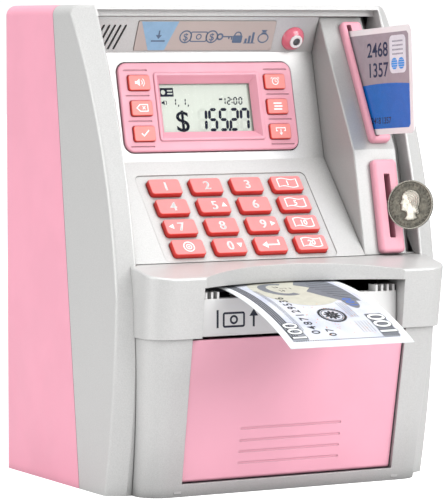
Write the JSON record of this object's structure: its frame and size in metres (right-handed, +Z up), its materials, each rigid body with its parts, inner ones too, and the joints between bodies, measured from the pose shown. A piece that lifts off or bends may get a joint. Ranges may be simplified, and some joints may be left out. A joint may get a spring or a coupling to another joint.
{
  "type": "toy savings bank",
  "caption": "Desktop toy cash-machine savings bank with a folded fascia, display, keypad, card, coin and note slots, a motor-fed note path and a drop-down vault door.",
  "frame": {"origin": "on the flat underside of the casing, on its centre plane, 8.9 mm behind the seam of the two casing halves", "axes": "+X to the right of a person facing the front, the front faces -Y, +Z up"},
  "size_m": [0.178, 0.2079, 0.234],
  "materials": {
    "shell_pink": "semi-gloss moulded pink ABS",
    "door_pink": "satin moulded pink ABS",
    "trim_pink": "satin moulded pink ABS",
    "silver_paint": "silver spray-painted ABS with a fine metallic grain",
    "pale_plate": "pale grey satin ABS",
    "key_coral": "soft-touch coral keys",
    "button_coral": "soft-touch coral buttons",
    "label": "printed label",
    "dome_pink": "glossy pink knob",
    "white_ring": "white ring",
    "dark_lens": "dark lens",
    "clear_window": "clear polished window",
    "lcd": "pale grey-green LCD",
    "card_print": "laminated card",
    "coin_metal": "cupronickel relief",
    "note_paper": "printed play-money paper",
    "black_abs": "black ABS",
    "white_acetal": "white acetal gears",
    "roller_rubber": "rubber tyre",
    "mat_rubber": "silicone switch mat",
    "steel": "bright steel",
    "pcb": "green circuit board with parts",
    "battery": "battery sleeve",
    "foot_rubber": "grey rubber foot pad"
  },
  "bodies": {
    "casing": {"rear_shell": "shell_pink", "front_frame": "silver_paint", "fascia_panel": "silver_paint", "slot_column": "silver_paint", "vault_housing": "silver_paint", "bill_hood": "silver_paint", "feeder_plate": "pale_plate", "door_hinge_pin": "steel", "latch_solenoid": "steel", "display_bezel": "trim_pink", "display_lens": "clear_window", "lcd_module": "lcd", "header_label": "label", "camera_dome": "dome_pink", "camera_ring": "white_ring", "camera_lens": "dark_lens", "card_bezel": "trim_pink", "coin_bezel": "trim_pink", "feeder_chassis": "black_abs", "feed_motor": "steel", "main_board": "pcb", "switch_mats": "mat_rubber", "speaker": "black_abs", "coin_chute": "black_abs", "battery_cover": "shell_pink", "batteries": "battery", "feet": "foot_rubber", "screws": "steel"},
    "door": {"door": "door_pink"},
    "latch": {"latch_bolt": "steel"},
    "card": {"atm_card": "card_print"},
    "coin": {"coin": "coin_metal"},
    "note": {"play_note": "note_paper"},
    "feed_roller": {"drive_shaft": "white_acetal", "drive_tyres": "roller_rubber"},
    "pinch_roller": {"pinch_roller": "white_acetal"},
    "idler": {"idler_gear": "white_acetal"},
    "pinion": {"motor_pinion": "white_acetal"},
    "button_left_1": {"button_left_1": "button_coral"},
    "button_left_2": {"button_left_2": "button_coral"},
    "button_left_3": {"button_left_3": "button_coral"},
    "button_right_1": {"button_right_1": "button_coral"},
    "button_right_2": {"button_right_2": "button_coral"},
    "button_right_3": {"button_right_3": "button_coral"},
    "key_r1c1": {"key_r1c1": "key_coral"},
    "key_r1c2": {"key_r1c2": "key_coral"},
    "key_r1c3": {"key_r1c3": "key_coral"},
    "key_r1c4": {"key_r1c4": "key_coral"},
    "key_r2c1": {"key_r2c1": "key_coral"},
    "key_r2c2": {"key_r2c2": "key_coral"},
    "key_r2c3": {"key_r2c3": "key_coral"},
    "key_r2c4": {"key_r2c4": "key_coral"},
    "key_r3c1": {"key_r3c1": "key_coral"},
    "key_r3c2": {"key_r3c2": "key_coral"},
    "key_r3c3": {"key_r3c3": "key_coral"},
    "key_r3c4": {"key_r3c4": "key_coral"},
    "key_r4c1": {"key_r4c1": "key_coral"},
    "key_r4c2": {"key_r4c2": "key_coral"},
    "key_r4c3": {"key_r4c3": "key_coral"},
    "key_r4c4": {"key_r4c4": "key_coral"}
  },
  "joints": [
    {"name": "door_hinge", "type": "hinge", "parent": "casing", "child": "door", "pos_m": [0, -0.0539, 0.0085], "axis": [1, 0, 0], "range_deg": [0, 78]},
    {"name": "latch_slide", "type": "slide", "parent": "casing", "child": "latch", "axis": [0, 0, -1], "range_m": [0, 0.0045]},
    {"name": "card_slide", "type": "slide", "parent": "casing", "child": "card", "axis": [0, 0.9981, -0.0611], "range_m": [0, 0.035]},
    {"name": "coin_tip", "type": "hinge", "parent": "casing", "child": "coin", "pos_m": [0.063, -0.04728, 0.13399], "axis": [0, -0.2074, -0.9782], "range_deg": [0, 34.4]},
    {"name": "feed_roller_spin", "type": "hinge", "parent": "casing", "child": "feed_roller", "pos_m": [0, -0.02868, 0.09365], "axis": [-1, 0, 0], "range_deg": [0, 510]},
    {"name": "note_feed", "type": "hinge", "parent": "casing", "child": "note", "pos_m": [0, -0.0438, -0.0693], "axis": [-1, 0, 0], "range_deg": [0, 18.5]},
    {"name": "pinch_roller_spin", "type": "hinge", "parent": "casing", "child": "pinch_roller", "pos_m": [0, -0.0276, 0.1053], "axis": [-1, 0, 0], "range_deg": [-615, 0]},
    {"name": "idler_spin", "type": "hinge", "parent": "casing", "child": "idler", "pos_m": [0, -0.00839, 0.08626], "axis": [-1, 0, 0], "range_deg": [-410, 0]},
    {"name": "pinion_spin", "type": "hinge", "parent": "casing", "child": "pinion", "pos_m": [0, 0.00293, 0.07495], "axis": [-1, 0, 0], "range_deg": [0, 1230]},
    {"name": "button_left_1_press", "type": "slide", "parent": "casing", "child": "button_left_1", "axis": [0, 0.9723, -0.2339], "range_m": [0, 0.0008], "stiffness_N_per_m": 600},
    {"name": "button_left_2_press", "type": "slide", "parent": "casing", "child": "button_left_2", "axis": [0, 0.9723, -0.2339], "range_m": [0, 0.0008], "stiffness_N_per_m": 600},
    {"name": "button_left_3_press", "type": "slide", "parent": "casing", "child": "button_left_3", "axis": [0, 0.9723, -0.2339], "range_m": [0, 0.0008], "stiffness_N_per_m": 600},
    {"name": "button_right_1_press", "type": "slide", "parent": "casing", "child": "button_right_1", "axis": [0, 0.9723, -0.2339], "range_m": [0, 0.0008], "stiffness_N_per_m": 600},
    {"name": "button_right_2_press", "type": "slide", "parent": "casing", "child": "button_right_2", "axis": [0, 0.9723, -0.2339], "range_m": [0, 0.0008], "stiffness_N_per_m": 600},
    {"name": "button_right_3_press", "type": "slide", "parent": "casing", "child": "button_right_3", "axis": [0, 0.9723, -0.2339], "range_m": [0, 0.0008], "stiffness_N_per_m": 600},
    {"name": "key_r1c1_press", "type": "slide", "parent": "casing", "child": "key_r1c1", "axis": [0, 0.7569, -0.6535], "range_m": [0, 0.0012], "stiffness_N_per_m": 600},
    {"name": "key_r1c2_press", "type": "slide", "parent": "casing", "child": "key_r1c2", "axis": [0, 0.7569, -0.6535], "range_m": [0, 0.0012], "stiffness_N_per_m": 600},
    {"name": "key_r1c3_press", "type": "slide", "parent": "casing", "child": "key_r1c3", "axis": [0, 0.7569, -0.6535], "range_m": [0, 0.0012], "stiffness_N_per_m": 600},
    {"name": "key_r1c4_press", "type": "slide", "parent": "casing", "child": "key_r1c4", "axis": [0, 0.7569, -0.6535], "range_m": [0, 0.0012], "stiffness_N_per_m": 600},
    {"name": "key_r2c1_press", "type": "slide", "parent": "casing", "child": "key_r2c1", "axis": [0, 0.7569, -0.6535], "range_m": [0, 0.0012], "stiffness_N_per_m": 600},
    {"name": "key_r2c2_press", "type": "slide", "parent": "casing", "child": "key_r2c2", "axis": [0, 0.7569, -0.6535], "range_m": [0, 0.0012], "stiffness_N_per_m": 600},
    {"name": "key_r2c3_press", "type": "slide", "parent": "casing", "child": "key_r2c3", "axis": [0, 0.7569, -0.6535], "range_m": [0, 0.0012], "stiffness_N_per_m": 600},
    {"name": "key_r2c4_press", "type": "slide", "parent": "casing", "child": "key_r2c4", "axis": [0, 0.7569, -0.6535], "range_m": [0, 0.0012], "stiffness_N_per_m": 600},
    {"name": "key_r3c1_press", "type": "slide", "parent": "casing", "child": "key_r3c1", "axis": [0, 0.7569, -0.6535], "range_m": [0, 0.0012], "stiffness_N_per_m": 600},
    {"name": "key_r3c2_press", "type": "slide", "parent": "casing", "child": "key_r3c2", "axis": [0, 0.7569, -0.6535], "range_m": [0, 0.0012], "stiffness_N_per_m": 600},
    {"name": "key_r3c3_press", "type": "slide", "parent": "casing", "child": "key_r3c3", "axis": [0, 0.7569, -0.6535], "range_m": [0, 0.0012], "stiffness_N_per_m": 600},
    {"name": "key_r3c4_press", "type": "slide", "parent": "casing", "child": "key_r3c4", "axis": [0, 0.7569, -0.6535], "range_m": [0, 0.0012], "stiffness_N_per_m": 600},
    {"name": "key_r4c1_press", "type": "slide", "parent": "casing", "child": "key_r4c1", "axis": [0, 0.7569, -0.6535], "range_m": [0, 0.0012], "stiffness_N_per_m": 600},
    {"name": "key_r4c2_press", "type": "slide", "parent": "casing", "child": "key_r4c2", "axis": [0, 0.7569, -0.6535], "range_m": [0, 0.0012], "stiffness_N_per_m": 600},
    {"name": "key_r4c3_press", "type": "slide", "parent": "casing", "child": "key_r4c3", "axis": [0, 0.7569, -0.6535], "range_m": [0, 0.0012], "stiffness_N_per_m": 600},
    {"name": "key_r4c4_press", "type": "slide", "parent": "casing", "child": "key_r4c4", "axis": [0, 0.7569, -0.6535], "range_m": [0, 0.0012], "stiffness_N_per_m": 600}
  ],
  "couplings": [
    {"joint": "note_feed", "follows": "feed_roller_spin", "ratio": 0.035325},
    {"joint": "pinch_roller_spin", "follows": "feed_roller_spin", "ratio": -1.2},
    {"joint": "idler_spin", "follows": "feed_roller_spin", "ratio": -0.8},
    {"joint": "pinion_spin", "follows": "feed_roller_spin", "ratio": 2.4}
  ]
}
